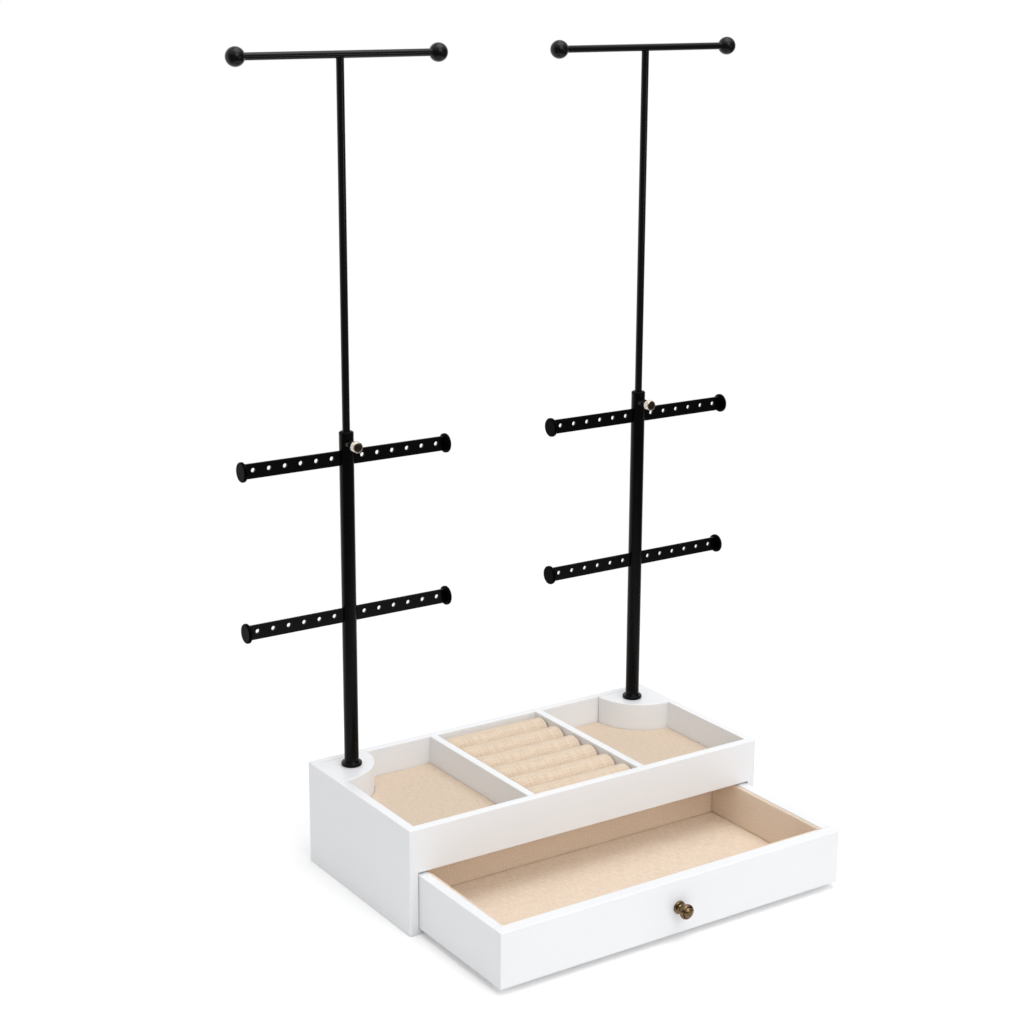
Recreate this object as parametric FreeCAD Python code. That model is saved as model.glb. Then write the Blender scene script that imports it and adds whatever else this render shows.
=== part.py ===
import FreeCAD, Part
import math
import os

# Jewellery stand with a drawer.
# A low white case holds an open tray with three compartments and, under it, one drawer.
# Two telescoping black posts stand on the tray's rear corner blocks. Each post carries two
# perforated arms a side for earrings and, on a sliding rod, a T-bar for necklaces.
# Millimetres. Origin: middle of the case's underside. X runs to the right, Y to the back, Z up.
# The drawer is drawn pulled out and the rods raised: that is the rest pose.

# ---- driving dimensions -------------------------------------------------------------------

case_width = 300.0
case_depth = 144.0
case_height = 77.0
panel = 6.5  # thickness of the case's panels
edge_round = 1.5  # outer corners of the case
arris_round = 0.7  # eased edges of every painted board
rail_height = 31.9  # front rail above the drawer
bottom_board = 4.0

deck_underside = 50.0  # board under the tray compartments
deck_board = 4.5
dado_depth = 2.5  # how far the deck sits in the side panels
divider_offset = 47.5  # middle of each divider from the case's middle
divider_board = 6.0
tray_liner = 1.5  # fabric-covered card on the tray's floor
card_gap = 0.3  # play round a lining card
block_radius = 39.0  # quarter-round block in each rear corner
block_joint = 0.8  # open joint between the block and the back panel

roll_count = 6
roll_radius = 10.7
roll_crest_below_rim = 0.4
roll_pad_board = 2.5
roll_end_gap = 0.8

drawer_pulled_out = 100.5
drawer_play = 0.5  # each side of the drawer
drawer_running_gap = 0.3  # under the drawer
drawer_height = 39.4
drawer_front = 9.5
drawer_side = 7.5
drawer_back = 5.5
drawer_rear_gap = 1.0  # behind the closed drawer
drawer_bottom_board = 3.0
drawer_bottom_lift = 4.0  # bottom board above the drawer's lower edge
drawer_groove = 3.0
drawer_wall_card = 2.5
drawer_floor_card = 1.2
card_below_rim = 0.6

knob_drop = 0.5  # knob's axis below the middle of the drawer front
knob_screw_shank = 4.0
knob_screw_head = 7.6
knob_screw_sink = 3.0
knob_screw_grip = 7.0  # length of screw inside the knob
knob_screw_slot = 1.0

post_x = 126.0
post_y = 50.0
tube_od = 10.4
tube_id = 8.8
tube_top = 322.0
collar_od = 15.0
collar_flange = 2.8  # height of the rounded flange
collar_round = 0.9
collar_height = 3.9  # with the tapered neck above the flange
plug_length = 15.0
base_screw_shank = 4.9
base_screw_head = 9.0
base_screw_head_height = 2.6
base_screw_length = 40.0

bush_length = 24.0
bush_lip = 1.6
bush_waist = 8.2  # top of the bush's chamfered lip
rod_od = 5.4
rod_id = 3.8
rod_play = 0.05  # radial clearance of the rod in its bush
rod_length = 300.0
saddle_drop = 1.4  # rod's coped top below the T-bar's axis

arm_heights = (191.0, 305.0)
arm_reach = 80.0  # post axis to the middle of an end disc
arm_height = 10.7
arm_thickness = 1.6
hole_pitch = 12.0
hole_count = 6
hole_diameter = 3.1
hole_lift = 0.6  # holes above the arm's middle line
disc_diameter = 14.0
disc_thickness = 2.6
disc_round = 0.9

t_bar_height = 578.0
t_bar_span = 152.0  # ball centre to ball centre
t_bar_diameter = 5.2
ball_diameter = 13.2
ball_bore_depth = 3.6

clamp_height = 315.0
boss_diameter = 6.6
boss_reach = 8.4  # boss face from the post's axis
thumbscrew_shank = 4.0
thumbscrew_play = 0.06
thumbscrew_tip_gap = 0.3
thumbscrew_head = 7.8
thumbscrew_head_length = 4.5
thumbscrew_face = 16.6  # head's outer face from the post's axis
knurl_count = 30
knurl_depth = 0.28
dish_diameter = 6.1
dish_depth = 0.7

# ---- worked out from them -----------------------------------------------------------------

half_width = case_width / 2
half_depth = case_depth / 2
inner_x = half_width - panel
inner_y = half_depth - panel
deck_top = deck_underside + deck_board
tray_floor = deck_top + tray_liner
rail_bottom = case_height - rail_height
divider_outer = divider_offset + divider_board / 2
divider_inner = divider_offset - divider_board / 2

drawer_front_y = -half_depth - drawer_pulled_out
drawer_half_width = inner_x - drawer_play
drawer_low = bottom_board + drawer_running_gap
drawer_top = drawer_low + drawer_height
drawer_rear_y = inner_y - drawer_rear_gap - drawer_pulled_out
drawer_inner_x = drawer_half_width - drawer_side
drawer_inner_front = drawer_front_y + drawer_front
drawer_inner_back = drawer_rear_y - drawer_back
drawer_floor_low = drawer_low + drawer_bottom_lift
drawer_floor_top = drawer_floor_low + drawer_bottom_board
knob_height = drawer_low + drawer_height / 2 - knob_drop

rod_bottom = t_bar_height - saddle_drop - rod_length

AXIS_X = FreeCAD.Vector(1, 0, 0)
AXIS_Y = FreeCAD.Vector(0, 1, 0)
AXIS_Z = FreeCAD.Vector(0, 0, 1)
CENTRE = FreeCAD.Vector(0, 0, 0)


# ---- helpers ------------------------------------------------------------------------------


def board(x0, x1, y0, y1, z0, z1):
    """A flat rectangular board between two opposite corners."""
    corner = FreeCAD.Vector(x0, y0, z0)
    return Part.makeBox(x1 - x0, y1 - y0, z1 - z0, corner)


def matches(point, spot):
    """True if the point has every coordinate that the spot states."""
    return all(want is None or abs(have - want) < 1e-4 for have, want in zip(point, spot))


def ease(shape, radius, spots):
    """Rounds the straight edges whose middles lie at the stated spots."""
    picked = [e for e in shape.Edges if any(matches(e.CenterOfMass, spot) for spot in spots)]
    return shape.makeFillet(radius, picked)


def rod_along(axis, start, length, diameter):
    """A plain round bar from a start point along an axis."""
    return Part.makeCylinder(diameter / 2, length, FreeCAD.Vector(*start), axis)


def turned(profile, centre, axis):
    """Turns a closed profile in the XY plane, X the radius and Y the height, onto an axis."""
    points = [FreeCAD.Vector(radius, 0, height) for radius, height in profile]
    face = Part.Face(Part.makePolygon(points + [points[0]]))
    solid = face.revolve(CENTRE, AXIS_Z, 360)
    solid.Placement = FreeCAD.Placement(FreeCAD.Vector(*centre), FreeCAD.Rotation(AXIS_Z, axis))
    return solid


def to_right(shape):
    """The same piece on the right-hand side of the case."""
    return shape.mirror(CENTRE, AXIS_X)


def save(name, shape):
    if shape.ShapeType != "Solid" and len(shape.Solids) == 1:
        shape = shape.Solids[0]
    shape.exportStep(f"parts/{name}.step")


# ---- case ---------------------------------------------------------------------------------


def case_side():
    """Left side panel: rounded outside corners and rims, and a dado for the deck."""
    shape = board(-half_width, -inner_x, -half_depth, half_depth, 0, case_height)
    corners = [(-half_width, -half_depth, None), (-half_width, half_depth, None)]
    shape = ease(shape, edge_round, corners)
    level = [e for e in shape.Edges if e.BoundBox.ZLength < 1e-6]
    outer_rims = [e for e in level if e.CenterOfMass.x < -inner_x - 0.01]
    shape = shape.makeFillet(arris_round, outer_rims)
    dado = board(-inner_x - dado_depth, -inner_x, -inner_y, inner_y, deck_underside, deck_top)
    return shape.cut(dado)


def case_front_rail():
    shape = board(-inner_x, inner_x, -half_depth, -inner_y, rail_bottom, case_height)
    spots = [(0, y, z) for y in (-half_depth, -inner_y) for z in (rail_bottom, case_height)]
    return ease(shape, arris_round, spots)


def case_back_panel():
    shape = board(-inner_x, inner_x, inner_y, half_depth, 0, case_height)
    spots = [(0, inner_y, case_height), (0, half_depth, case_height), (0, half_depth, 0)]
    return ease(shape, arris_round, spots)


def case_bottom_board():
    shape = board(-inner_x, inner_x, -half_depth, inner_y, 0, bottom_board)
    return ease(shape, arris_round, [(0, -half_depth, 0), (0, -half_depth, bottom_board)])


def tray_deck():
    """Board under the compartments, housed in the side panels and drilled for the posts."""
    reach = inner_x + dado_depth
    shape = board(-reach, reach, -inner_y, inner_y, deck_underside, deck_top)
    for x in (-post_x, post_x):
        hole = rod_along(AXIS_Z, (x, post_y, deck_underside), deck_board, base_screw_shank + 0.6)
        shape = shape.cut(hole)
    return shape


def divider():
    shape = board(-divider_outer, -divider_inner, -inner_y, inner_y, deck_top, case_height)
    return ease(shape, arris_round, [(x, 0, case_height) for x in (-divider_outer, -divider_inner)])


def quarter_round(radius, low, high):
    """Quarter disc whose square corner is the tray's rear left corner."""
    corner = FreeCAD.Vector(-inner_x, inner_y, low)
    return Part.makeCylinder(radius, high - low, corner, AXIS_Z, 90).rotate(corner, AXIS_Z, -90)


def corner_block():
    """Block flush with the rim that the post is screwed to."""
    shape = quarter_round(block_radius, deck_top, case_height)
    rim = [e for e in shape.Edges if e.Curve.TypeId == "Part::GeomCircle"]
    rim = [e for e in rim if e.CenterOfMass.z > case_height - 0.01]
    shape = shape.makeFillet(arris_round, rim)
    joint = board(-half_width, 0, inner_y - block_joint, half_depth, deck_top, case_height)
    hole = rod_along(AXIS_Z, (-post_x, post_y, deck_top), case_height, base_screw_shank + 0.6)
    return shape.cut(joint).cut(hole)


def tray_liner_card():
    """Fabric-covered card on the compartment's floor, cut round the corner block."""
    left = -inner_x + card_gap
    right = -divider_outer - card_gap
    reach = inner_y - card_gap
    card = board(left, right, -reach, reach, deck_top, tray_floor)
    return card.cut(quarter_round(block_radius + card_gap, deck_top, tray_floor))


def ring_pad_board():
    x = divider_inner - card_gap
    y = inner_y - card_gap
    return board(-x, x, -y, y, deck_top, deck_top + roll_pad_board)


def ring_roll(index):
    """Padded roll, counted from the front: a cylinder flattened where it meets its board."""
    pitch = 2 * (inner_y - card_gap) / roll_count
    y = (index - (roll_count - 1) / 2) * pitch
    half_length = divider_inner - roll_end_gap
    centre_z = case_height - roll_crest_below_rim - roll_radius
    shape = rod_along(AXIS_X, (-half_length, y, centre_z), 2 * half_length, 2 * roll_radius)
    rims = [e for e in shape.Edges if e.Curve.TypeId == "Part::GeomCircle"]
    shape = shape.makeFillet(1.5, rims)
    seat = deck_top + roll_pad_board
    below = board(-divider_inner, divider_inner, y - pitch, y + pitch, seat - 2 * roll_radius, seat)
    return shape.cut(below)


# ---- drawer -------------------------------------------------------------------------------


def drawer_floor_slot():
    """Space that the bottom board takes in the grooves of the four drawer walls."""
    x = drawer_inner_x + drawer_groove
    front = drawer_inner_front - drawer_groove
    back = drawer_inner_back + drawer_groove
    return board(-x, x, front, back, drawer_floor_low, drawer_floor_top)


def drawer_front_panel():
    """Inset front, grooved for the bottom, drilled and counterbored for the knob's screw."""
    half = drawer_half_width
    shape = board(-half, half, drawer_front_y, drawer_inner_front, drawer_low, drawer_top)
    outer = [(x, drawer_front_y, None) for x in (-half, half)]
    outer += [(0, drawer_front_y, z) for z in (drawer_low, drawer_top)]
    outer.append((0, drawer_inner_front, drawer_top))
    shape = ease(shape, arris_round, outer)
    hole = rod_along(AXIS_Y, (0, drawer_front_y, knob_height), drawer_front, knob_screw_shank + 0.4)
    sink_start = (0, drawer_inner_front - knob_screw_sink, knob_height)
    sink = rod_along(AXIS_Y, sink_start, knob_screw_sink, knob_screw_head + 0.6)
    return shape.cut(drawer_floor_slot()).cut(hole).cut(sink)


def drawer_side_wall():
    left = -drawer_half_width
    shape = board(left, -drawer_inner_x, drawer_inner_front, drawer_rear_y, drawer_low, drawer_top)
    middle = (drawer_inner_front + drawer_rear_y) / 2
    long_edges = [(left, middle, drawer_top), (left, middle, drawer_low)]
    long_edges.append((-drawer_inner_x, middle, drawer_top))
    return ease(shape, arris_round, long_edges).cut(drawer_floor_slot())


def drawer_back_wall():
    x = drawer_inner_x
    shape = board(-x, x, drawer_inner_back, drawer_rear_y, drawer_low, drawer_top)
    top_edges = [(0, y, drawer_top) for y in (drawer_inner_back, drawer_rear_y)]
    return ease(shape, arris_round, top_edges).cut(drawer_floor_slot())


def drawer_bottom():
    return drawer_floor_slot()


def drawer_liner_floor():
    x = drawer_inner_x - card_gap
    front = drawer_inner_front + card_gap
    back = drawer_inner_back - card_gap
    return board(-x, x, front, back, drawer_floor_top, drawer_floor_top + drawer_floor_card)


def drawer_liner_side():
    """Lining card against the left wall, standing on the floor card."""
    low = drawer_floor_top + drawer_floor_card
    high = drawer_top - card_below_rim
    x = -drawer_inner_x
    return board(x, x + drawer_wall_card, drawer_inner_front, drawer_inner_back, low, high)


def drawer_liner_end(y0, y1):
    """Lining card against the front or back wall, between the side cards."""
    x = drawer_inner_x - drawer_wall_card
    low = drawer_floor_top + drawer_floor_card
    return board(-x, x, y0, y1, low, drawer_top - card_below_rim)


def drawer_knob():
    """Turned knob: foot disc, waisted neck, rounded head and a dome inside a V groove."""
    foot = [(0, 0), (4.6, 0), (4.6, 1.0), (4.1, 1.5), (2.7, 1.9)]
    neck = [(2.2, 2.8), (2.2, 4.4), (2.9, 5.6), (4.2, 6.4)]
    head = [(5.0, 7.0), (5.3, 7.9), (5.3, 8.9), (4.9, 9.7), (4.35, 10.2)]
    dome = [(3.9, 9.7), (3.7, 10.5), (3.2, 11.3), (2.3, 12.0), (1.2, 12.4), (0, 12.5)]
    shape = turned(foot + neck + head + dome, (0, drawer_front_y, knob_height), -AXIS_Y)
    bore = rod_along(-AXIS_Y, (0, drawer_front_y, knob_height), knob_screw_grip, knob_screw_shank)
    return shape.cut(bore)


def drawer_knob_screw():
    """Pan-head screw from inside the drawer; its head sits in the counterbore."""
    seat = drawer_inner_front - knob_screw_sink
    length = seat - drawer_front_y + knob_screw_grip
    shank = rod_along(-AXIS_Y, (0, seat, knob_height), length, knob_screw_shank)
    head = rod_along(AXIS_Y, (0, seat, knob_height), knob_screw_sink - 0.4, knob_screw_head)
    slot_low = knob_height - knob_screw_slot / 2
    slot_high = knob_height + knob_screw_slot / 2
    slot_y = seat + knob_screw_sink - 0.4 - knob_screw_slot
    slot = board(-knob_screw_head, knob_screw_head, slot_y, seat + knob_screw_sink, slot_low, slot_high)
    return shank.fuse(head).cut(slot).removeSplitter()


# ---- posts: every function draws the left post --------------------------------------------


def post_tube():
    """Outer tube, drilled for the thumbscrew near its top."""
    length = tube_top - case_height
    shape = rod_along(AXIS_Z, (-post_x, post_y, case_height), length, tube_od)
    shape = shape.cut(rod_along(AXIS_Z, (-post_x, post_y, case_height), length, tube_id))
    hole_start = (-post_x, post_y, clamp_height)
    return shape.cut(rod_along(-AXIS_Y, hole_start, tube_od, thumbscrew_shank + 2 * thumbscrew_play))


def post_plug():
    """Threaded plug in the foot of the tube."""
    shape = rod_along(AXIS_Z, (-post_x, post_y, case_height), plug_length, tube_id)
    return shape.cut(rod_along(AXIS_Z, (-post_x, post_y, case_height), plug_length, base_screw_shank))


def post_collar():
    """Rounded flange round the foot of the tube, with a short tapered neck above it."""
    foot = (-post_x, post_y, case_height)
    shape = rod_along(AXIS_Z, foot, collar_flange, collar_od)
    rims = [e for e in shape.Edges if e.Curve.TypeId == "Part::GeomCircle"]
    shape = shape.makeFillet(collar_round, rims)
    neck_foot = FreeCAD.Vector(-post_x, post_y, case_height + collar_flange)
    neck_height = collar_height - collar_flange
    neck = Part.makeCone(tube_od / 2 + 0.8, tube_od / 2 + 0.25, neck_height, neck_foot)
    tube = rod_along(AXIS_Z, foot, collar_height, tube_od)
    return shape.fuse(neck).cut(tube).removeSplitter()


def base_screw():
    """Pan-head screw that holds the post down through the deck and the corner block."""
    under_head = (-post_x, post_y, deck_underside)
    shank = rod_along(AXIS_Z, under_head, base_screw_length, base_screw_shank)
    head = rod_along(-AXIS_Z, under_head, base_screw_head_height, base_screw_head)
    rim = [e for e in head.Edges if e.CenterOfMass.z < deck_underside - base_screw_head_height + 0.01]
    head = head.makeFillet(1.2, rim)
    return head.fuse(shank).removeSplitter()


def post_bush():
    """Guide for the rod, pressed into the top of the tube; its lip caps the tube."""
    bore = rod_od / 2 + rod_play
    sleeve = tube_id / 2
    lip = tube_od / 2
    low = tube_top - bush_length
    profile = [(bore, low), (sleeve, low), (sleeve, tube_top), (lip, tube_top)]
    profile += [(lip, tube_top + bush_lip * 0.5), (bush_waist / 2, tube_top + bush_lip)]
    profile.append((bore, tube_top + bush_lip))
    shape = turned(profile, (-post_x, post_y, 0), AXIS_Z)
    hole_start = (-post_x, post_y, clamp_height)
    return shape.cut(rod_along(-AXIS_Y, hole_start, tube_od, thumbscrew_shank + 2 * thumbscrew_play))


def post_boss():
    """Threaded boss welded to the front of the tube, coped to fit it."""
    start = (-post_x, post_y, clamp_height)
    shape = rod_along(-AXIS_Y, start, boss_reach, boss_diameter)
    rim = [e for e in shape.Edges if e.CenterOfMass.y < post_y - boss_reach + 0.01]
    shape = shape.makeFillet(0.5, rim)
    tube = rod_along(AXIS_Z, (-post_x, post_y, clamp_height - tube_od), 2 * tube_od, tube_od)
    bore = rod_along(-AXIS_Y, start, boss_reach, thumbscrew_shank + 2 * thumbscrew_play)
    return shape.cut(tube).cut(bore)


def thumbscrew():
    """Knurled screw with a dished face; its tip stops short of the clamped rod."""
    tip = rod_od / 2 + thumbscrew_tip_gap
    head_low = thumbscrew_face - thumbscrew_head_length
    shank = rod_along(-AXIS_Y, (0, -tip, 0), head_low - tip, thumbscrew_shank)
    head = rod_along(-AXIS_Y, (0, -head_low, 0), thumbscrew_head_length, thumbscrew_head)
    rims = [e for e in head.Edges if e.Curve.TypeId == "Part::GeomCircle"]
    head = head.makeFillet(0.5, rims)
    groove = board(-knurl_depth, knurl_depth, -thumbscrew_face, -head_low, -knurl_depth, knurl_depth)
    groove.rotate(CENTRE, AXIS_Y, 45)
    groove.translate(FreeCAD.Vector(thumbscrew_head / 2 + 0.08, 0, 0))
    for step in range(knurl_count):
        cutter = groove.copy()
        cutter.rotate(CENTRE, AXIS_Y, 360 * step / knurl_count)
        head = head.cut(cutter)
    dish = rod_along(-AXIS_Y, (0, dish_depth - thumbscrew_face, 0), dish_depth, dish_diameter)
    shape = head.fuse(shank).cut(dish).removeSplitter()
    shape.translate(FreeCAD.Vector(-post_x, post_y, clamp_height))
    return shape


def arm(height, side):
    """Perforated flat arm, coped to the tube. side is -1 to the left of its post, 1 to the right."""
    x0, x1 = sorted((0, side * (arm_reach - disc_thickness / 2)))
    half_thickness = arm_thickness / 2
    low = height - arm_height / 2
    shape = board(x0, x1, -half_thickness, half_thickness, low, low + arm_height)
    middle = (x0 + x1) / 2
    spots = [(middle, y, z) for y in (-half_thickness, half_thickness) for z in (low, low + arm_height)]
    shape = ease(shape, 0.5, spots)
    for number in range(1, hole_count + 1):
        start = (side * number * hole_pitch, -arm_thickness, height + hole_lift)
        shape = shape.cut(rod_along(AXIS_Y, start, 2 * arm_thickness, hole_diameter))
    shape = shape.cut(rod_along(AXIS_Z, (0, 0, low), arm_height, tube_od))
    shape.translate(FreeCAD.Vector(-post_x, post_y, 0))
    return shape


def end_disc(height, side):
    start = (side * arm_reach - disc_thickness / 2, 0, height)
    shape = rod_along(AXIS_X, start, disc_thickness, disc_diameter)
    rims = [e for e in shape.Edges if e.Curve.TypeId == "Part::GeomCircle"]
    shape = shape.makeFillet(disc_round, rims)
    shape.translate(FreeCAD.Vector(-post_x, post_y, 0))
    return shape


def end_discs():
    """The four discs that close a post's arms."""
    return Part.makeCompound([end_disc(height, side) for height in arm_heights for side in (-1, 1)])


def t_bar():
    length = t_bar_span - ball_diameter + 2 * ball_bore_depth
    return rod_along(AXIS_X, (-post_x - length / 2, post_y, t_bar_height), length, t_bar_diameter)


def post_rod():
    """Thin tube that slides in the bush; its top is coped to carry the T-bar."""
    shape = rod_along(AXIS_Z, (-post_x, post_y, rod_bottom), rod_length, rod_od)
    shape = shape.cut(rod_along(AXIS_Z, (-post_x, post_y, rod_bottom), rod_length, rod_id))
    return shape.cut(t_bar())


def t_bar_balls():
    """The two balls on the ends of the T-bar."""
    balls = []
    for side in (-1, 1):
        centre = FreeCAD.Vector(-post_x + side * t_bar_span / 2, post_y, t_bar_height)
        balls.append(Part.makeSphere(ball_diameter / 2, centre, AXIS_X).cut(t_bar()))
    return Part.makeCompound(balls)


# ---- assembly -----------------------------------------------------------------------------

os.makedirs("parts", exist_ok=True)

save("case_front_rail", case_front_rail())
save("case_back_panel", case_back_panel())
save("case_bottom_board", case_bottom_board())
save("tray_deck", tray_deck())
save("ring_pad_board", ring_pad_board())
for index in range(roll_count):
    save(f"ring_roll_{index + 1}", ring_roll(index))

left_pieces = {
    "case_side": case_side(),
    "divider": divider(),
    "corner_block": corner_block(),
    "tray_liner": tray_liner_card(),
    "drawer_side": drawer_side_wall(),
    "drawer_liner": drawer_liner_side(),
    "tube": post_tube(),
    "plug": post_plug(),
    "collar": post_collar(),
    "bush": post_bush(),
    "clamp_boss": post_boss(),
    "thumbscrew": thumbscrew(),
    "lower_arm_outer": arm(arm_heights[0], -1),
    "lower_arm_inner": arm(arm_heights[0], 1),
    "upper_arm_outer": arm(arm_heights[1], -1),
    "upper_arm_inner": arm(arm_heights[1], 1),
    "end_discs": end_discs(),
    "rod": post_rod(),
    "t_bar": t_bar(),
    "t_bar_balls": t_bar_balls(),
}
for name, shape in left_pieces.items():
    save(f"{name}_left", shape)
    save(f"{name}_right", to_right(shape))

left_screw = base_screw()
save("base_screws", Part.makeCompound([left_screw, to_right(left_screw)]))

save("drawer_front", drawer_front_panel())
save("drawer_back", drawer_back_wall())
save("drawer_bottom", drawer_bottom())
save("drawer_liner_floor", drawer_liner_floor())
front_card = drawer_inner_front + drawer_wall_card
back_card = drawer_inner_back - drawer_wall_card
save("drawer_liner_front", drawer_liner_end(drawer_inner_front, front_card))
save("drawer_liner_back", drawer_liner_end(back_card, drawer_inner_back))
save("drawer_knob", drawer_knob())
save("drawer_knob_screw", drawer_knob_screw())
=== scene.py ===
# %% [markdown]
# # A jewelry stand with a drawer
# The real object is a small white painted case with a lined drawer and a lined tray. Two black
# steel posts stand in its rear corners, and each carries two pairs of perforated arms and a T-bar
# that slides up and down. The boards, tubes and bars come from the engineering model, because they
# are plain manufactured shapes. This script gives every surface its finish and models the soft
# parts. The engineering model is loaded first, so that every new piece takes its size and place
# from it.

# %% The engineering model
import math

import bpy
import numpy as np
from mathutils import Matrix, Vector, noise


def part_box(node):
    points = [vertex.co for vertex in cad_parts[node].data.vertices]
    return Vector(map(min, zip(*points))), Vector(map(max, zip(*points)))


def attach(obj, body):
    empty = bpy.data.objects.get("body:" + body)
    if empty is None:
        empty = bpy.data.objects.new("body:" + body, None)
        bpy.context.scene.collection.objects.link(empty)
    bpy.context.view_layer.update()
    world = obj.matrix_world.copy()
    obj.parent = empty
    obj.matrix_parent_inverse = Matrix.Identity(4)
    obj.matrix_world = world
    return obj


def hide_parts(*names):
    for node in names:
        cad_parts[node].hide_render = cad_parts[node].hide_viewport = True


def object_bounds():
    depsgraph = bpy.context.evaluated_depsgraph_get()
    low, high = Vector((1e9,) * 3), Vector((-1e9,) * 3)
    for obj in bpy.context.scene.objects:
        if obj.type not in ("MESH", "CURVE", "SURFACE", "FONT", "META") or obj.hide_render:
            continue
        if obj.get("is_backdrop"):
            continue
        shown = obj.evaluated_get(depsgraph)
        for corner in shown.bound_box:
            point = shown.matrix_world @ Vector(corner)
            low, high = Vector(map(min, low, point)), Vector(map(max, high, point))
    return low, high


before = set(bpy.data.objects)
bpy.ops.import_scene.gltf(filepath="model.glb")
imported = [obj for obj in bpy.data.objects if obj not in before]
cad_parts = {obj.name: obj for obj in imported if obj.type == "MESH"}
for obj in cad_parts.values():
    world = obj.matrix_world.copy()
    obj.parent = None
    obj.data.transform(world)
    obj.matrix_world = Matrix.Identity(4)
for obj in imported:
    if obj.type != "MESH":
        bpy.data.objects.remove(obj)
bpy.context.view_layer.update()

MM = 0.001

# %% [markdown]
# ## The camera
# A tall stand shows best from the front left, a little above the tray, where the posts, the tray
# and the open drawer are all in view. A camera can be aimed with a Track To constraint, but plain
# angles say exactly where it looks and are easy to change. A lens near 70 mm keeps the posts almost
# parallel. The small shift slides the picture instead of tilting the camera further, which keeps
# them upright.

# %% Camera
IMAGE_SIDE = 1024
camera_place = Vector((-0.7714, -1.1297, 0.6344))
camera_azimuth = math.radians(33.570)
camera_pitch = math.radians(14.475)
camera_roll = math.radians(0.266)
optical_centre_row = 481

ahead = Vector(
    (
        math.sin(camera_azimuth) * math.cos(camera_pitch),
        math.cos(camera_azimuth) * math.cos(camera_pitch),
        -math.sin(camera_pitch),
    )
)
bpy.ops.object.camera_add(location=camera_place)
camera = bpy.context.object
camera.name = "product_camera"
camera.data.lens = 70.06
camera.data.sensor_width = 36.0
camera.data.shift_y = (optical_centre_row - IMAGE_SIDE / 2) / IMAGE_SIDE
turned = ahead.to_track_quat("-Z", "Y").to_matrix().to_4x4()
camera.matrix_world = turned
bpy.context.view_layer.update()
roll = turned.Rotation(camera_roll, 4, "Z")
camera.matrix_world = turned.Translation(camera_place) @ turned @ roll
bpy.context.scene.camera = camera
print("camera looks along", [round(v, 3) for v in ahead])

# %% [markdown]
# ## White paper under the stand
# The stand is shown on white paper. The paper could be lit until it is white, but the white case
# would then burn out as well. So it keeps a diffuse share, which holds the shadow, and to the
# camera and in reflections it glows a little besides. Away from the stand it fades out into the
# white room, which leaves no horizon. Colours are written as hex codes, as in a paint chart, and
# one helper turns them into the linear values that the shaders need.


# %% One helper for colours and one for nodes
def colour(hex_code):
    """An sRGB hex value as linear red, green and blue, with an alpha of 1."""
    channels = [int(hex_code[i : i + 2], 16) / 255 for i in (0, 2, 4)]
    linear = [c / 12.92 if c <= 0.04045 else ((c + 0.055) / 1.055) ** 2.4 for c in channels]
    return (*linear, 1.0)


def add_node(tree, kind, settings, links=None):
    """Adds a node, sets its properties or input values, and links its inputs."""
    made = tree.nodes.new(kind)
    for key, value in settings.items():
        if isinstance(key, int) or key in made.inputs:
            made.inputs[key].default_value = value
        else:
            setattr(made, key, value)
    for key, source in (links or {}).items():
        tree.links.new(source, made.inputs[key])
    return made


# %% White paper
PAPER_GLOW = 0.21
FADE_START = 0.32
FADE_END = 0.75


def paper_floor():
    """White paper: matt, with a low glow that only the camera and reflections see."""
    material = bpy.data.materials.new("matt_white_paper")
    material.use_nodes = True
    tree = material.node_tree
    tree.nodes.clear()
    rays = add_node(tree, "ShaderNodeLightPath", {})
    seen = add_node(
        tree,
        "ShaderNodeMath",
        {"operation": "MAXIMUM"},
        {0: rays.outputs["Is Camera Ray"], 1: rays.outputs["Is Glossy Ray"]},
    )
    seen = add_node(
        tree,
        "ShaderNodeMath",
        {"operation": "MAXIMUM"},
        {0: seen.outputs[0], 1: rays.outputs["Is Transmission Ray"]},
    )
    lift = add_node(
        tree, "ShaderNodeMath", {"operation": "MULTIPLY", 1: PAPER_GLOW}, {0: seen.outputs[0]}
    )
    matt = add_node(tree, "ShaderNodeBsdfDiffuse", {"Color": colour("F4F4F4")})
    glow = add_node(
        tree, "ShaderNodeEmission", {"Color": colour("FFFFFF")}, {"Strength": lift.outputs[0]}
    )
    both = add_node(tree, "ShaderNodeAddShader", {}, {0: matt.outputs[0], 1: glow.outputs[0]})
    spot = add_node(tree, "ShaderNodeTexCoord", {})
    away = add_node(
        tree, "ShaderNodeVectorMath", {"operation": "LENGTH"}, {0: spot.outputs["Object"]}
    )
    fade = add_node(
        tree,
        "ShaderNodeMapRange",
        {"From Min": FADE_START, "From Max": FADE_END},
        {"Value": away.outputs["Value"]},
    )
    fade = add_node(
        tree, "ShaderNodeMath", {"operation": "MULTIPLY"}, {0: fade.outputs[0], 1: seen.outputs[0]}
    )
    clear = add_node(tree, "ShaderNodeBsdfTransparent", {"Color": colour("FFFFFF")})
    paper = add_node(
        tree,
        "ShaderNodeMixShader",
        {},
        {0: fade.outputs[0], 1: both.outputs[0], 2: clear.outputs[0]},
    )
    add_node(tree, "ShaderNodeOutputMaterial", {}, {"Surface": paper.outputs[0]})
    return material


bpy.ops.mesh.primitive_plane_add(size=12.0, location=(0, 0, -0.0003))
floor = bpy.context.object
floor.name = "paper_floor"
floor.data.materials.append(paper_floor())
floor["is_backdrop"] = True
print("floor:", floor.name, "with", floor.data.materials[0].name)

# %% [markdown]
# ## The room, as light and as a reflection
# Satin black steel shows whatever stands round it, and an even white room would turn it grey. So
# the room lights every surface evenly, but in reflections it is dark in front of the stand and
# white only behind it and overhead. The flat rims, which are seen at a low angle, then reflect the
# white backdrop, and the posts stay black. The camera itself sees plain white.

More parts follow.
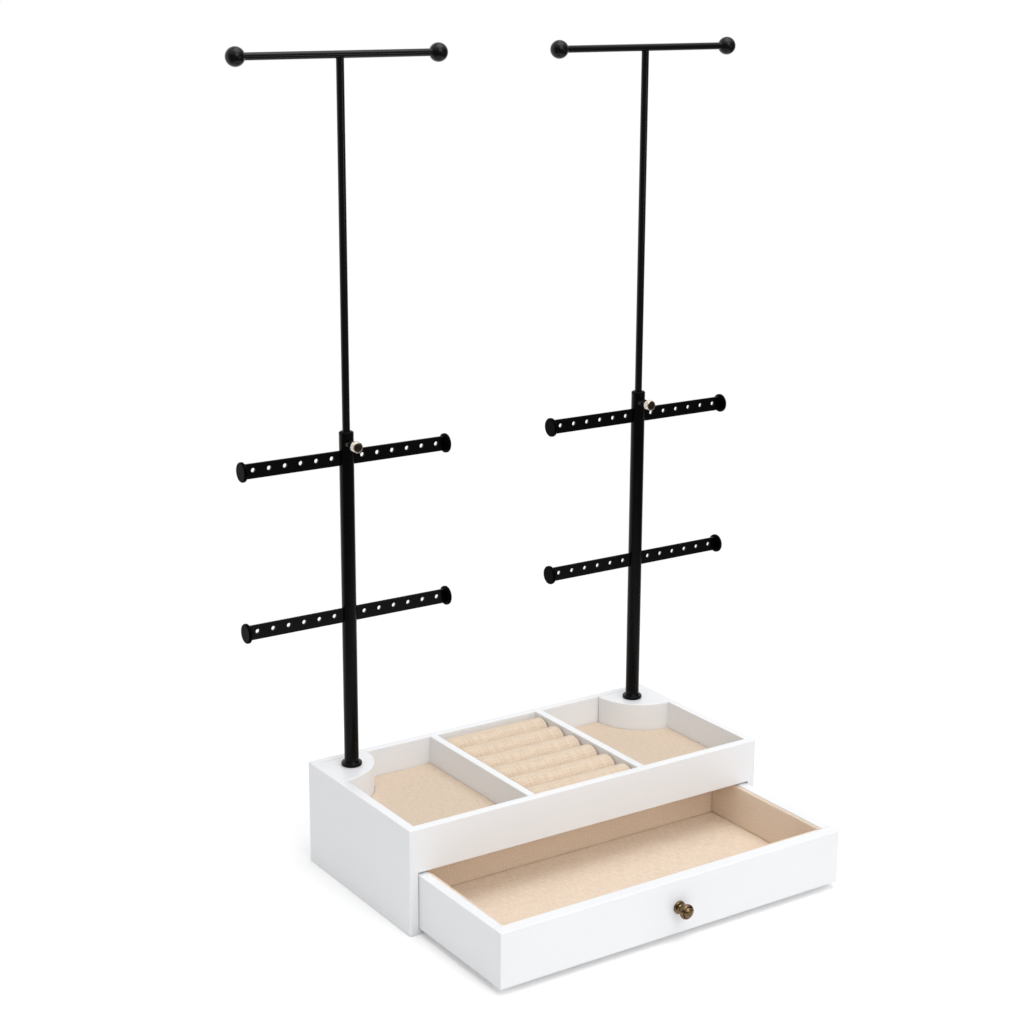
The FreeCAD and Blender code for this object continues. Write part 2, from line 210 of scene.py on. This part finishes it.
# %% Room
SKY_LEVEL = 0.60
ROOM_IN_GLOSS = 0.18
WHITE_IN_GLOSS = 1.25
sky = bpy.data.worlds.new("studio")
sky.use_nodes = True
bpy.context.scene.world = sky
sky.node_tree.nodes.clear()
sky_rays = add_node(sky.node_tree, "ShaderNodeLightPath", {})
bearing = add_node(sky.node_tree, "ShaderNodeTexCoord", {})
bearing = add_node(
    sky.node_tree, "ShaderNodeSeparateXYZ", {}, {"Vector": bearing.outputs["Generated"]}
)
backdrop = add_node(
    sky.node_tree,
    "ShaderNodeMapRange",
    {"From Min": -0.1, "From Max": 0.5, "To Min": ROOM_IN_GLOSS, "To Max": WHITE_IN_GLOSS},
    {"Value": bearing.outputs["Y"]},
)
ceiling = add_node(
    sky.node_tree,
    "ShaderNodeMapRange",
    {"From Min": 0.3, "From Max": 0.8, "To Min": ROOM_IN_GLOSS, "To Max": WHITE_IN_GLOSS},
    {"Value": bearing.outputs["Z"]},
)
sky_in_gloss = add_node(
    sky.node_tree,
    "ShaderNodeMath",
    {"operation": "MAXIMUM"},
    {0: backdrop.outputs[0], 1: ceiling.outputs[0]},
)
sky_on_object = add_node(
    sky.node_tree,
    "ShaderNodeMapRange",
    {"To Min": SKY_LEVEL},
    {"Value": sky_rays.outputs["Is Glossy Ray"], "To Max": sky_in_gloss.outputs[0]},
)
sky_strength = add_node(
    sky.node_tree,
    "ShaderNodeMapRange",
    {"To Max": 1.0},
    {"Value": sky_rays.outputs["Is Camera Ray"], "To Min": sky_on_object.outputs[0]},
)
sky_glow = add_node(
    sky.node_tree,
    "ShaderNodeBackground",
    {"Color": colour("FFFFFF")},
    {"Strength": sky_strength.outputs[0]},
)
add_node(sky.node_tree, "ShaderNodeOutputWorld", {}, {"Surface": sky_glow.outputs[0]})
print("room:", sky.name, "with", len(sky.node_tree.nodes), "nodes")

# %% [markdown]
# ## Soft boxes
# A soft box is a lamp behind a large sheet of white cloth. The larger it is, the softer the edge of
# a shadow. One broad box hangs over the stand and another stands in front, and the room fills the
# shade, so the faces differ only a little in tone and the shadows stay pale. A third, small one
# stands low on the right and draws one narrow streak down the posts.


# %% Three soft boxes
def soft_box(name, place, target, side, watts):
    """A square soft box at a place, turned to face a target."""
    bpy.ops.object.light_add(type="AREA", location=place)
    lamp = bpy.context.object
    lamp.name = name
    lamp.data.shape = "SQUARE"
    lamp.data.size = side
    lamp.data.energy = watts
    lamp.rotation_mode = "QUATERNION"
    lamp.rotation_quaternion = (Vector(target) - Vector(place)).to_track_quat("-Z", "Y")


soft_box("overhead_box", (0.1, -0.3, 1.9), (0, -0.1, 0), 1.3, 13.4)
soft_box("key_box", (-0.1, -1.6, 1.3), (0, -0.1, 0), 1.2, 9.0)
soft_box("streak_box", (0.9, -1.8, 0.35), (0, -0.1, 0.1), 0.3, 1.4)

# %% [markdown]
# ## White lacquer on fibreboard
# The case and the drawer are medium density fibreboard, sprayed with a satin white lacquer. A plain
# white shader would look like plastic film. Sprayed lacquer levels out but keeps a faint orange
# peel, about a millimetre and a half across, which breaks up the highlights. Its tone also drifts a
# little over a whole board. Soft patches of three sizes give the drift, the haze and the peel.


# %% Helpers for a finish
def new_finish(name, **constants):
    """A material with one shader, whose plain values are set on the shader's own sockets."""
    material = bpy.data.materials.new(name)
    material.use_nodes = True
    shader = material.node_tree.nodes["Principled BSDF"]
    for socket, value in constants.items():
        shader.inputs[socket.replace("_", " ")].default_value = value
    return material, material.node_tree, shader


def soft_patches(tree, size, detail=2.0):
    """Soft noise on the piece's own coordinates, with patches of the given size in metres."""
    spot = add_node(tree, "ShaderNodeTexCoord", {})
    settings = {"Scale": 1 / size, "Detail": detail, "Roughness": 0.5}
    return add_node(tree, "ShaderNodeTexNoise", settings, {"Vector": spot.outputs["Object"]})


# %% Satin lacquer
def satin_lacquer():
    """Satin sprayed lacquer: gives soft broad highlights and a faint dimpled skin."""
    material, tree, shader = new_finish("satin_white_lacquer", IOR=1.45)
    drift = soft_patches(tree, 60 * MM)
    tone = add_node(
        tree,
        "ShaderNodeMix",
        {"data_type": "RGBA", "A": colour("F2F3F5"), "B": colour("EEEFF1")},
        {"Factor": drift.outputs[0]},
    )
    tree.links.new(tone.outputs["Result"], shader.inputs["Base Color"])
    haze = soft_patches(tree, 9 * MM)
    gloss = add_node(
        tree,
        "ShaderNodeMapRange",
        {"To Min": 0.30, "To Max": 0.40},
        {"Value": haze.outputs[0]},
    )
    tree.links.new(gloss.outputs[0], shader.inputs["Roughness"])
    peel = soft_patches(tree, 1.5 * MM)
    bump = add_node(
        tree,
        "ShaderNodeBump",
        {"Strength": 0.25, "Distance": 0.03 * MM},
        {"Height": peel.outputs[0]},
    )
    tree.links.new(bump.outputs[0], shader.inputs["Normal"])
    return material


lacquer = satin_lacquer()
print("finish:", lacquer.name)

# %% [markdown]
# ## Powder coat on steel
# The posts, arms and T-bars are mild steel tube, strip and bar under a satin black powder coat. A
# plain black shader would show one hard white line down each tube. The powder melts into a skin
# with a fine pebble, which spreads that line. It is drawn here at 0.6 mm, a little coarser than the
# real one, because finer would not show. The rods, the T-bars and their balls have a smoother,
# glossier coat, and the end discs of the arms a duller one. The bushes in the tubes are moulded
# plastic. The four differ only in a few numbers, so one function makes them all.


# %% Black finishes
def pebbled_black(name, base, gloss_level, roughness, pebble, depth):
    """A black skin whose fine pebble spreads the highlights into a soft streak."""
    material, tree, shader = new_finish(name, IOR=1.5, Specular_IOR_Level=gloss_level)
    shader.inputs["Base Color"].default_value = colour(base)
    wear = soft_patches(tree, 14 * MM)
    gloss = add_node(
        tree,
        "ShaderNodeMapRange",
        {"To Min": roughness - 0.05, "To Max": roughness + 0.05},
        {"Value": wear.outputs[0]},
    )
    tree.links.new(gloss.outputs[0], shader.inputs["Roughness"])
    grain = soft_patches(tree, pebble)
    bump = add_node(
        tree, "ShaderNodeBump", {"Strength": 0.5, "Distance": depth}, {"Height": grain.outputs[0]}
    )
    tree.links.new(bump.outputs[0], shader.inputs["Normal"])
    return material


# Posts and arms: deep black, with one soft streak.
powder_coat = pebbled_black("satin_black_powder_coat", "040303", 0.12, 0.22, 0.6 * MM, 0.02 * MM)
# Rods and T-bars: a clearer, brighter streak on a smooth skin.
bar_black = pebbled_black("satin_black_bar", "070708", 0.24, 0.18, 0.9 * MM, 0.003 * MM)
# End discs: almost no highlight, so their flat faces stay dark.
dull_coat = pebbled_black("dull_black_powder_coat", "050404", 0.015, 0.30, 0.9 * MM, 0.02 * MM)
# Bushes: matt, a shade paler than the steel round them.
moulded_black = pebbled_black("moulded_black_plastic", "080808", 0.03, 0.35, 0.9 * MM, 0.02 * MM)
blacks = (powder_coat, bar_black, dull_coat, moulded_black)
print("finishes:", [black.name for black in blacks])

# %% [markdown]
# ## Plated and aged metal
# The thumbscrews are nickel plated, the hidden screws and plugs zinc plated, and the drawer knob is
# turned brass, browned and then rubbed so that it shows warm where a hand touches it. One even tone
# would look like paint. So each metal mixes two close tones and a range of gloss in soft patches a
# few millimetres wide, and the two tones lie furthest apart in the rubbed brass.


# %% Metal finishes
def turned_metal(name, base, roughness, patch_tone):
    """Turned metal, plated or bare: fully metallic, with soft patches in tone and roughness."""
    material, tree, shader = new_finish(name, Metallic=1.0)
    patches = soft_patches(tree, 3 * MM, 3.0)
    tone = add_node(
        tree,
        "ShaderNodeMix",
        {"data_type": "RGBA", "A": colour(base), "B": colour(patch_tone)},
        {"Factor": patches.outputs[0]},
    )
    tree.links.new(tone.outputs["Result"], shader.inputs["Base Color"])
    gloss = add_node(
        tree,
        "ShaderNodeMapRange",
        {"To Min": roughness - 0.06, "To Max": roughness + 0.08},
        {"Value": patches.outputs[0]},
    )
    tree.links.new(gloss.outputs[0], shader.inputs["Roughness"])
    return material


# Thumbscrews: bright and slightly warm. Screws and plugs: grey and soft. Knob: brown to gold.
nickel = turned_metal("bright_nickel_plate", "E4DCCF", 0.16, "D0C7BA")
zinc = turned_metal("zinc_plated_steel", "B8BABB", 0.32, "A2A5A6")
aged_brass = turned_metal("rubbed_antique_brass", "4C3C2C", 0.22, "8F7758")
print("finishes:", [metal.name for metal in (nickel, zinc, aged_brass)])

# %% [markdown]
# ## Linen
# The lining and the ring rolls are one beige cloth, a plain weave of uneven thread. In the drawer
# it is drawn a little paler than in the tray, as painted light that stands in for the fill the deep
# drawer lacks. A picture of cloth could be laid over them, but a drawn weave keeps one size
# everywhere and never repeats. The thread spacing is drawn at 1.1 mm, coarser than the real one,
# because finer would not show. Each crossing is a small pillow, warp over weft and then weft over
# warp, and its top is painted paler and the gaps between the threads darker, as painted shade. The
# pattern reads the piece's own UV map in metres, so that it follows the cloth round a roll or over
# an edge.


# %% Weave
THREAD = 1.1 * MM


def weave(tree):
    """The wavering cloth coordinates, the pillow of each crossing, and which thread is on top."""
    cloth = add_node(tree, "ShaderNodeTexCoord", {}).outputs["UV"]
    waver = add_node(tree, "ShaderNodeTexNoise", {"Scale": 1 / (7 * MM)}, {"Vector": cloth})
    drift = add_node(
        tree,
        "ShaderNodeVectorMath",
        {"operation": "SCALE", "Scale": THREAD},
        {0: waver.outputs["Color"]},
    )
    bent = add_node(
        tree, "ShaderNodeVectorMath", {"operation": "ADD"}, {0: cloth, 1: drift.outputs[0]}
    )
    beat = add_node(
        tree,
        "ShaderNodeVectorMath",
        {"operation": "SCALE", "Scale": math.pi / THREAD},
        {0: bent.outputs[0]},
    )
    wave = add_node(tree, "ShaderNodeVectorMath", {"operation": "SINE"}, {0: beat.outputs[0]})
    axes = add_node(tree, "ShaderNodeSeparateXYZ", {}, {0: wave.outputs[0]})
    over = add_node(
        tree, "ShaderNodeMath", {"operation": "MULTIPLY"}, {0: axes.outputs[0], 1: axes.outputs[1]}
    )
    pillow = add_node(tree, "ShaderNodeMath", {"operation": "ABSOLUTE"}, {0: over.outputs[0]})
    on_top = add_node(
        tree,
        "ShaderNodeMapRange",
        {"From Min": -0.25, "From Max": 0.25},
        {"Value": over.outputs[0]},
    )
    return bent.outputs[0], pillow.outputs[0], on_top.outputs[0]


# %% [markdown]
# ## Slubs
# Linen thread is thicker and paler in some places and thinner and darker in others. A thick place
# is called a slub, and it runs along its own thread. Round noise would look like stains, so the
# noise is stretched along the warp and along the weft, and the thread on top is the one that shows.


# %% Slubs
SLUB_LENGTH = 14 * MM


def thread_streaks(tree, cloth, along, across):
    """Noise drawn out along one thread direction, as slubs are."""
    stretch = add_node(
        tree, "ShaderNodeMapping", {"Scale": (1 / along, 1 / across, 1)}, {"Vector": cloth}
    )
    settings = {"Scale": 1.0, "Detail": 2.0}
    return add_node(tree, "ShaderNodeTexNoise", settings, {"Vector": stretch.outputs[0]})


def slubs(tree, cloth, on_top):
    """How pale the thread on top is, from its own streaks."""
    warp = thread_streaks(tree, cloth, SLUB_LENGTH, THREAD)
    weft = thread_streaks(tree, cloth, THREAD, SLUB_LENGTH)
    shown = add_node(
        tree,
        "ShaderNodeMix",
        {"data_type": "FLOAT"},
        {"Factor": on_top, "A": weft.outputs[0], "B": warp.outputs[0]},
    )
    return add_node(
        tree,
        "ShaderNodeMapRange",
        {"From Min": 0.32, "From Max": 0.68, "To Max": 0.65},
        {"Value": shown.outputs["Result"]},
    )


# %% Linen
def linen_cloth(name, dark, pale):
    """Plain woven linen: gives a dry, uneven, slightly fuzzy surface."""
    material, tree, shader = new_finish(name, Roughness=0.9, Specular_IOR_Level=0.2)
    shader.inputs["Sheen Weight"].default_value = 0.12
    shader.inputs["Sheen Roughness"].default_value = 0.5
    cloth, pillow, on_top = weave(tree)
    uneven = slubs(tree, cloth, on_top)
    # The pillow sets the colour as well as the bump: the top of each crossing is painted paler and
    # the gaps between the threads darker, as painted shade, over the slubs' own thread tone.
    weave_tone_and_shade = add_node(
        tree,
        "ShaderNodeMath",
        {"operation": "MULTIPLY_ADD", "use_clamp": True, 1: 0.45},
        {0: pillow, 2: uneven.outputs[0]},
    )
    tone = add_node(
        tree,
        "ShaderNodeMix",
        {"data_type": "RGBA", "A": colour(dark), "B": colour(pale)},
        {"Factor": weave_tone_and_shade.outputs[0]},
    )
    tree.links.new(tone.outputs["Result"], shader.inputs["Base Color"])
    bump = add_node(
        tree,
        "ShaderNodeBump",
        {"Strength": 0.6, "Distance": 0.15 * MM},
        {"Height": pillow},
    )
    tree.links.new(bump.outputs[0], shader.inputs["Normal"])
    return material


linen = linen_cloth("beige_linen", "CFB9A0", "F3E1CD")
# Drawer lining: the same linen, drawn paler as painted light for the fill the deep drawer lacks.
painted_light_linen = linen_cloth("beige_linen_painted_lighter", "E3C5A9", "FFF4E4")
print("finishes:", [cloth.name for cloth in (linen, painted_light_linen)])

# %% [markdown]
# ## Dressing the engineering pieces
# The boards, tubes and fittings keep their shapes. Each could be given its finish by hand, but each
# node name starts with what the piece is, so a short list of name starts says which finish goes
# where. The list is read from top to bottom, and a later line wins, as it does for the screw in the
# knob. The pieces that are modelled anew below aren't in it.

# %% Finishes on the engineering pieces
FINISHES = (
    (lacquer, ("case_", "tray_deck", "divider_", "corner_block_")),
    (lacquer, ("drawer_front", "drawer_side_", "drawer_back", "drawer_bottom")),
    (powder_coat, ("tube_", "lower_arm_", "upper_arm_", "clamp_boss_", "collar_")),
    (bar_black, ("rod_", "t_bar_")),
    (dull_coat, ("end_discs_",)),
    (moulded_black, ("bush_",)),
    (nickel, ("thumbscrew_",)),
    (aged_brass, ("drawer_knob",)),
    (zinc, ("base_screws", "drawer_knob_screw", "plug_")),
)


def dress(piece, material):
    """Gives a piece one material."""
    piece.data.materials.clear()
    piece.data.materials.append(material)


dressed = set()
for material, starts in FINISHES:
    for name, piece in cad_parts.items():
        if name.startswith(starts):
            dress(piece, material)
            dressed.add(name)
print("dressed", len(dressed), "pieces")

# %% [markdown]
# ## Ring rolls
# A ring roll is a rod of soft foam wrapped in linen. Rings push into the valley between two rolls.
# It could be left a plain cylinder, but a real one has soft rims and sits flat on its board. So a
# cylinder is cut flat underneath, its rims are bevelled, and its skin is remeshed evenly, which the
# cloth simulation needs. It is made slightly under size, to leave room for the ripple of the cloth.


# %% Helpers for modelling
def alone(piece):
    """Selects one piece and nothing else, and makes it the active one."""
    bpy.ops.object.select_all(action="DESELECT")
    piece.select_set(True)
    bpy.context.view_layer.objects.active = piece


def settle(piece, name):
    """Names the piece and moves its place and turn into its mesh, with its object at the origin."""
    alone(piece)
    piece.name = name
    piece.data.name = name
    bpy.ops.object.transform_apply(location=True, rotation=True, scale=True)
    return piece


def points_of(piece):
    """The vertices of a piece as an array of rows."""
    flat = np.empty(len(piece.data.vertices) * 3)
    piece.data.vertices.foreach_get("co", flat)
    return flat.reshape(-1, 3)


def place_points(piece, points):
    """Writes an array of rows back to the vertices of a piece."""
    piece.data.vertices.foreach_set("co", points.ravel())
    piece.data.update()


def apply_all(piece):
    """Applies every modifier of a piece in order."""
    alone(piece)
    for name in [m.name for m in piece.modifiers]:
        bpy.ops.object.modifier_apply(modifier=name)


# %% Size of a roll
roll_low, roll_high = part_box("ring_roll_1")
ROLL_RADIUS = (roll_high.y - roll_low.y) / 2
ROLL_LENGTH = roll_high.x - roll_low.x
roll_axis = Vector(
    (
        (roll_low.x + roll_high.x) / 2,
        (roll_low.y + roll_high.y) / 2,
        roll_high.z - ROLL_RADIUS,
    )
)
print("roll in mm:", [round(v / MM, 1) for v in (ROLL_LENGTH, 2 * ROLL_RADIUS)])

# %% Blank of a roll
SLACK = 0.5 * MM
SEAT_CUT = 0.05 * MM
RIM_ROUND = 1.8 * MM
VOXEL = 1.3 * MM


def roll_blank():
    """A cylinder along X, flat underneath and round at its rims, slightly under size."""
    bpy.ops.object.select_all(action="DESELECT")
    bpy.ops.mesh.primitive_cylinder_add(
        vertices=48,
        radius=ROLL_RADIUS - SLACK,
        depth=ROLL_LENGTH - 2 * SLACK,
        location=roll_axis,
        rotation=(0, math.pi / 2, 0),
    )
    roll = settle(bpy.context.object, "ring_roll")
    bpy.ops.object.mode_set(mode="EDIT")
    bpy.ops.mesh.select_all(action="SELECT")
    bpy.ops.mesh.bisect(
        plane_co=(0, 0, roll_low.z + SEAT_CUT),
        plane_no=(0, 0, 1),
        use_fill=True,
        clear_inner=True,
    )
    bpy.ops.object.mode_set(mode="OBJECT")
    round_rims = roll.modifiers.new("round_rims", "BEVEL")
    round_rims.width = RIM_ROUND
    round_rims.segments = 4
    round_rims.limit_method = "ANGLE"
    round_rims.angle_limit = math.radians(50)
    even = roll.modifiers.new("even_mesh", "REMESH")
    even.mode = "VOXEL"
    even.voxel_size = VOXEL
    apply_all(roll)
    return roll


master_roll = roll_blank()
print("blank has", len(master_roll.data.polygons), "faces")

# %% [markdown]
# ## Filling the roll
# Foam pushes the linen out where nothing holds it. The fullness could be drawn by hand, but a short
# cloth simulation with pressure inside looks for it by itself, with the seat and the end seams
# held. A roll as small as this is nearly rigid at the usual cloth stiffness, and its skin moves by
# only about 0.01 mm. So the form comes from the blank and the ripple, and the simulation adds
# nothing that can be seen. A limit on the move would keep a softer roll clear of its neighbours.


# %% Filling
SEAT_HEIGHT = 1.5 * MM
SEAM_WIDTH = 2.0 * MM
FILL_PRESSURE = 4.0
FILL_STEPS = 20
LARGEST_FILL = 0.9 * MM


def fill_roll(roll):
    """Runs a short cloth simulation with pressure inside, the seat and the end seams held."""
    before = points_of(roll)
    seat = before[:, 2] < roll_low.z + SEAT_HEIGHT
    ends = np.abs(before[:, 0] - roll_axis.x) > ROLL_LENGTH / 2 - SEAM_WIDTH
    held = roll.vertex_groups.new(name="held")
    held.add(np.flatnonzero(seat | ends).tolist(), 1.0, "REPLACE")
    cloth = roll.modifiers.new("filling", "CLOTH")
    cloth.settings.vertex_group_mass = "held"
    cloth.settings.use_pressure = True
    cloth.settings.uniform_pressure_force = FILL_PRESSURE
    cloth.settings.effector_weights.gravity = 0.0
    for step in range(1, FILL_STEPS + 1):
        bpy.context.scene.frame_set(step)
    apply_all(roll)
    bpy.context.scene.frame_set(1)
    after = points_of(roll)
    move = after - before
    size = np.linalg.norm(move, axis=1)
    move *= (np.minimum(size, LARGEST_FILL) / np.maximum(size, 1e-9))[:, None]
    place_points(roll, before + move)
    print("cloth simulation, largest move in mm:", round(size.max() / MM, 3))


fill_roll(master_roll)
smooth = master_roll.modifiers.new("smooth", "SUBSURF")
smooth.levels = 1
smooth.render_levels = 1
apply_all(master_roll)
print("roll has", len(master_roll.data.polygons), "faces")

# %% [markdown]
# ## Six rolls
# The six rolls are sewn alike, so one is modelled and copied. Each copy has its own mesh, because
# cloth over foam is never quite even and no two rolls ripple alike. The ripple is soft noise along
# the normals. The UV map is measured in metres along and round the roll, as the cloth is wrapped.


# %% Ripple and wrap
def soft_waves(points, reach, start):
    """Soft noise at each point, about -1 to 1, with waves of the given reach."""
    return np.array([noise.noise(Vector(p) / reach + Vector(start)) for p in points])


def ruffle(piece, seed, depth, reach):
    """Moves the surface in and out by soft noise, as cloth over foam is never quite even."""
    points = points_of(piece)
    normals = np.array([v.normal for v in piece.data.vertices])
    waves = soft_waves(points, reach, (seed * 7.3, seed, 0))
    place_points(piece, points + normals * (waves * depth)[:, None])


def wrap_uv(piece, axis, radius):
    """UV map in metres for a roll along X: length one way, distance round it the other way."""
    points = points_of(piece)
    corners = np.empty(len(piece.data.loops), int)
    piece.data.loops.foreach_get("vertex_index", corners)
    spots = points[corners]
    angle = np.arctan2(spots[:, 1] - axis.y, spots[:, 2] - axis.z)
    uv = np.stack([spots[:, 0], angle * radius], axis=1)
    layer = piece.data.uv_layers.new(name="cloth")
    layer.data.foreach_set("uv", uv.ravel())


# %% Copies of the roll
RIPPLE_DEPTH = 0.18 * MM
RIPPLE_REACH = 9 * MM

for index in range(1, 7):
    name = f"ring_roll_{index}"
    low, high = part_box(name)
    roll = bpy.data.objects.new(f"padded_{name}", master_roll.data.copy())
    bpy.context.scene.collection.objects.link(roll)
    points = points_of(roll)
    points[:, 1] += (low.y + high.y) / 2 - roll_axis.y
    place_points(roll, points)
    ruffle(roll, index, RIPPLE_DEPTH, RIPPLE_REACH)
    wrap_uv(roll, Vector((0, (low.y + high.y) / 2, roll_axis.z)), ROLL_RADIUS)
    alone(roll)
    bpy.ops.object.shade_smooth()
    dress(roll, linen)
    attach(roll, "case")
    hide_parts(name)
    print(roll.name, len(roll.data.polygons), "faces")
bpy.data.objects.remove(master_roll)

# %% [markdown]
# ## Lining cards
# The tray floors and the drawer are lined with thin card wrapped in linen, drawn paler in the
# drawer as painted light. The cards of the engineering model have sharp edges and flat faces, but
# real cloth turns over a card's edge in a small soft round and never lies quite flat. So each card
# starts as a block at its size and is sliced into a fine grid. The tray floors lose a round for the
# corner blocks. Then the edges are bevelled and the two broad faces wave inwards a little.


# %% Slices and rounds
def slice_along(piece, axis, spacing):
    """Cuts every edge that runs along an axis into even steps."""
    points = points_of(piece)
    size = np.ptp(points[:, axis])
    cuts = max(1, round(size / spacing) - 1)
    bpy.ops.object.mode_set(mode="EDIT")
    bpy.ops.mesh.select_mode(type="EDGE")
    bpy.ops.mesh.select_all(action="DESELECT")
    bpy.ops.object.mode_set(mode="OBJECT")
    for edge in piece.data.edges:
        step = points[edge.vertices[0]] - points[edge.vertices[1]]
        edge.select = abs(step[axis]) > 0.7 * size
    bpy.ops.object.mode_set(mode="EDIT")
    bpy.ops.mesh.subdivide(number_cuts=cuts)
    bpy.ops.object.mode_set(mode="OBJECT")


def carve(card, place, radius):
    """Cuts the round of a corner block out of a card."""
    bpy.ops.object.select_all(action="DESELECT")
    bpy.ops.mesh.primitive_cylinder_add(vertices=96, radius=radius, depth=20 * MM, location=place)
    cutter = bpy.context.object
    cut = card.modifiers.new("corner", "BOOLEAN")
    cut.operation = "DIFFERENCE"
    cut.object = cutter
    cut.solver = "EXACT"
    apply_all(card)
    bpy.data.objects.remove(cutter)
    alone(card)


# %% Cloth map and waves
WAVE_DEPTH = 0.16 * MM
WAVE_REACH = 26 * MM
FLAT_MARGIN = 6 * MM


def flat_uv(piece):
    """UV map in metres: every face is laid flat along the two axes that it faces least."""
    layer = piece.data.uv_layers.new(name="cloth")
    for face in piece.data.polygons:
        facing = max(range(3), key=lambda i: abs(face.normal[i]))
        first, second = [i for i in range(3) if i != facing]
        for corner in face.loop_indices:
            spot = piece.data.vertices[piece.data.loops[corner].vertex_index].co
            layer.data[corner].uv = (spot[first], spot[second])


def wave_faces(card, seed, low, high, thin):
    """Waves the two broad faces inwards, less and less towards the edges."""
    points = points_of(card)
    waves = soft_waves(points, WAVE_REACH, (seed * 3.1, 0, seed))
    wide = [i for i in range(3) if i != thin]
    to_edge = [np.minimum(points[:, i] - low[i], high[i] - points[:, i]) for i in wide]
    fade = np.clip(np.min(to_edge, axis=0) / FLAT_MARGIN, 0, 1)
    side = np.sign(points[:, thin] - (low[thin] + high[thin]) / 2)
    points[:, thin] -= np.abs(waves) * WAVE_DEPTH * fade * side
    place_points(card, points)


# %% A lined card
GRID = 3 * MM


def lined_card(node_name, body, seed, corner_cut=None):
    """A linen covered card in the place of a plain card of the engineering model."""
    low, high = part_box(node_name)
    size = high - low
    bpy.ops.object.select_all(action="DESELECT")
    bpy.ops.mesh.primitive_cube_add(size=1, location=(low + high) / 2, scale=size)
    card = settle(bpy.context.object, f"lined_{node_name}")
    soft_edge = min(size) * 0.4
    thin = min(range(3), key=lambda i: size[i])
    for axis in range(3):
        if axis != thin:
            slice_along(card, axis, GRID)
    if corner_cut:
        carve(card, *corner_cut)
    rounded = card.modifiers.new("soft_edge", "BEVEL")
    rounded.width = soft_edge
    rounded.segments = 3
    rounded.limit_method = "ANGLE"
    rounded.angle_limit = math.radians(60)
    apply_all(card)
    wave_faces(card, seed, low, high, thin)
    flat_uv(card)
    bpy.ops.object.shade_smooth_by_angle(angle=math.radians(40))
    # The drawer's cards take the linen drawn paler, as painted light.
    dress(card, painted_light_linen if body == "drawer" else linen)
    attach(card, body)
    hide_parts(node_name)
    print(card.name, len(card.data.polygons), "faces")


# %% Tray and drawer cards
BLOCK_GAP = 0.4 * MM

for side, sign in (("left", -1), ("right", 1)):
    block_low, block_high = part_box(f"corner_block_{side}")
    outer = block_low.x if sign < 0 else block_high.x
    corner = Vector((outer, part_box("case_back_panel")[0].y, block_low.z))
    radius = block_high.x - block_low.x + BLOCK_GAP
    lined_card(f"tray_liner_{side}", "case", 3 + sign, (corner, radius))
lined_card("ring_pad_board", "case", 5)
for seed, part in enumerate(("floor", "front", "back", "left", "right")):
    lined_card(f"drawer_liner_{part}", "drawer", 11 + seed)

# %% [markdown]
# ## Thumbscrew faces
# Each thumbscrew has a nickel head with a glossy black enamel disc set into its face. A flat disc
# would flash all at once or not at all. So it starts as a thin cylinder whose front face is inset
# twice and pushed out a little, which makes it a shallow dome that catches one clear reflection.


# %% Black enamel
def black_enamel():
    """Glossy black enamel: a warm black with a clear reflection."""
    material, tree, shader = new_finish("black_enamel", Specular_IOR_Level=0.2, Roughness=0.1)
    patches = soft_patches(tree, 2 * MM)
    tone = add_node(
        tree,
        "ShaderNodeMix",
        {"data_type": "RGBA", "A": colour("17100B"), "B": colour("2B2018")},
        {"Factor": patches.outputs[0]},
    )
    tree.links.new(tone.outputs["Result"], shader.inputs["Base Color"])
    return material


enamel = black_enamel()
print("finish:", enamel.name)

# %% Domed discs
DISH_SHARE = 0.77
DISH_DEPTH = 0.55 * MM
DISC_THICKNESS = 0.5 * MM


def thumbscrew_face(side):
    """The domed disc in the dish of one thumbscrew."""
    low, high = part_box(f"thumbscrew_{side}")
    head_radius = (high.z - low.z) / 2
    centre = Vector(((low.x + high.x) / 2, low.y + DISH_DEPTH, (low.z + high.z) / 2))
    bpy.ops.object.select_all(action="DESELECT")
    bpy.ops.mesh.primitive_cylinder_add(
        vertices=48,
        radius=head_radius * DISH_SHARE,
        depth=DISC_THICKNESS,
        location=centre,
        rotation=(math.pi / 2, 0, 0),
    )
    disc = settle(bpy.context.object, f"thumbscrew_face_{side}")
    bpy.ops.object.mode_set(mode="EDIT")
    bpy.ops.mesh.select_mode(type="FACE")
    bpy.ops.mesh.select_all(action="DESELECT")
    bpy.ops.object.mode_set(mode="OBJECT")
    for face in disc.data.polygons:
        face.select = face.normal.y < -0.9
    bpy.ops.object.mode_set(mode="EDIT")
    bpy.ops.mesh.inset(thickness=0.5 * MM)
    bpy.ops.transform.translate(value=(0, -0.12 * MM, 0))
    bpy.ops.mesh.inset(thickness=0.9 * MM)
    bpy.ops.transform.translate(value=(0, -0.1 * MM, 0))
    bpy.ops.object.mode_set(mode="OBJECT")
    bpy.ops.object.shade_smooth_by_angle(angle=math.radians(50))
    dress(disc, enamel)
    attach(disc, f"thumbscrew_{side}")
    print(disc.name, len(disc.data.polygons), "faces")


for side in ("left", "right"):
    thumbscrew_face(side)

# %% [markdown]
# ## The size of the dressed stand
# The dressed stand must fill the same box as the engineering model, so its box is printed in
# millimetres.

# %% Sizes
low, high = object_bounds()
print("visual box in mm:", [round(v / MM, 1) for v in (*low, *high)])
view = bpy.context.scene.view_settings
view.view_transform = "Standard"
